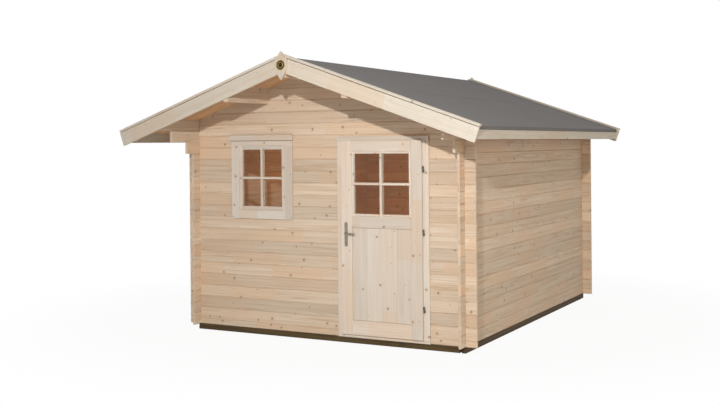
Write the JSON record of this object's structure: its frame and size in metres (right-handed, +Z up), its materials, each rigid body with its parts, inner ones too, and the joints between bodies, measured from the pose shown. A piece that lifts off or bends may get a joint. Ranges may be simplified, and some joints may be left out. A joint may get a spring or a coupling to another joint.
{
  "type": "garden summer house",
  "caption": "Small gabled garden house of interlocked log boards, with a felt roof overhanging the front, a half-glazed door that opens outwards and one fixed window.",
  "frame": {"origin": "on the ground under the middle of the log walls, on the underside of the middle floor joist", "axes": "+Z up, the front with the door faces -Y, +X to the right seen from the front, the ridge runs along Y"},
  "size_m": [3.875, 4.629, 2.7674],
  "materials": {
    "log_board": "planed, untreated spruce",
    "roof_timber": "planed, untreated spruce",
    "trim_board": "planed, untreated spruce",
    "floor_board": "planed, untreated spruce",
    "treated_timber": "rough sawn, pressure treated",
    "window_wood": "fine planed, pale",
    "door_wood": "fine planed, pale",
    "clear_glass": "clear",
    "roofing_felt": "mineral-surfaced bitumen felt",
    "ironwork": "dark lacquered steel",
    "handle_metal": "satin",
    "badge": "dark, plain face"
  },
  "bodies": {
    "cabin": {"base_beam_front": "treated_timber", "base_beam_rear": "treated_timber", "base_beam_left": "treated_timber", "base_beam_right": "treated_timber", "floor_joists": "treated_timber", "floor_boards": "floor_board", "left_wall": "log_board", "right_wall": "log_board", "front_wall_window_side": "log_board", "front_wall_hinge_side": "log_board", "front_gable": "log_board", "rear_wall": "log_board", "corner_log_ends": "log_board", "ridge_purlin": "roof_timber", "purlin_left": "roof_timber", "purlin_right": "roof_timber", "roof_boards_left": "roof_timber", "roof_boards_right": "roof_timber", "roof_felt_left": "roofing_felt", "roof_felt_right": "roofing_felt", "eaves_boards": "trim_board", "bargeboard_front_left": "trim_board", "bargeboard_front_right": "trim_board", "bargeboard_rear_left": "trim_board", "bargeboard_rear_right": "trim_board", "cover_strips_front": "trim_board", "cover_strips_rear": "trim_board", "finials": "trim_board", "finial_badge": "badge", "window_casing": "window_wood", "window_drip_cap": "window_wood", "window_lining": "window_wood", "window_sash": "window_wood", "window_glass": "clear_glass", "door_jamb_left": "door_wood", "door_jamb_right": "door_wood", "door_head": "door_wood", "door_threshold": "door_wood", "frame_hinges": "ironwork"},
    "door": {"door_leaf": "door_wood", "door_panel": "door_wood", "door_beads": "door_wood", "door_glass": "clear_glass", "leaf_hinges": "ironwork", "handle_plates": "handle_metal", "lock_cylinder": "handle_metal"},
    "lever": {"door_lever": "handle_metal"}
  },
  "joints": [
    {"name": "door_swing", "type": "hinge", "parent": "cabin", "child": "door", "pos_m": [1.106, -1.913, 1.088], "axis": [0, 0, 1], "range_deg": [0, 110]},
    {"name": "lever_turn", "type": "hinge", "parent": "door", "child": "lever", "pos_m": [0.292, -1.92, 1.058], "axis": [0, 1, 0], "range_deg": [0, 40], "stiffness_Nm_per_rad": 1, "springref_deg": -28.65}
  ]
}
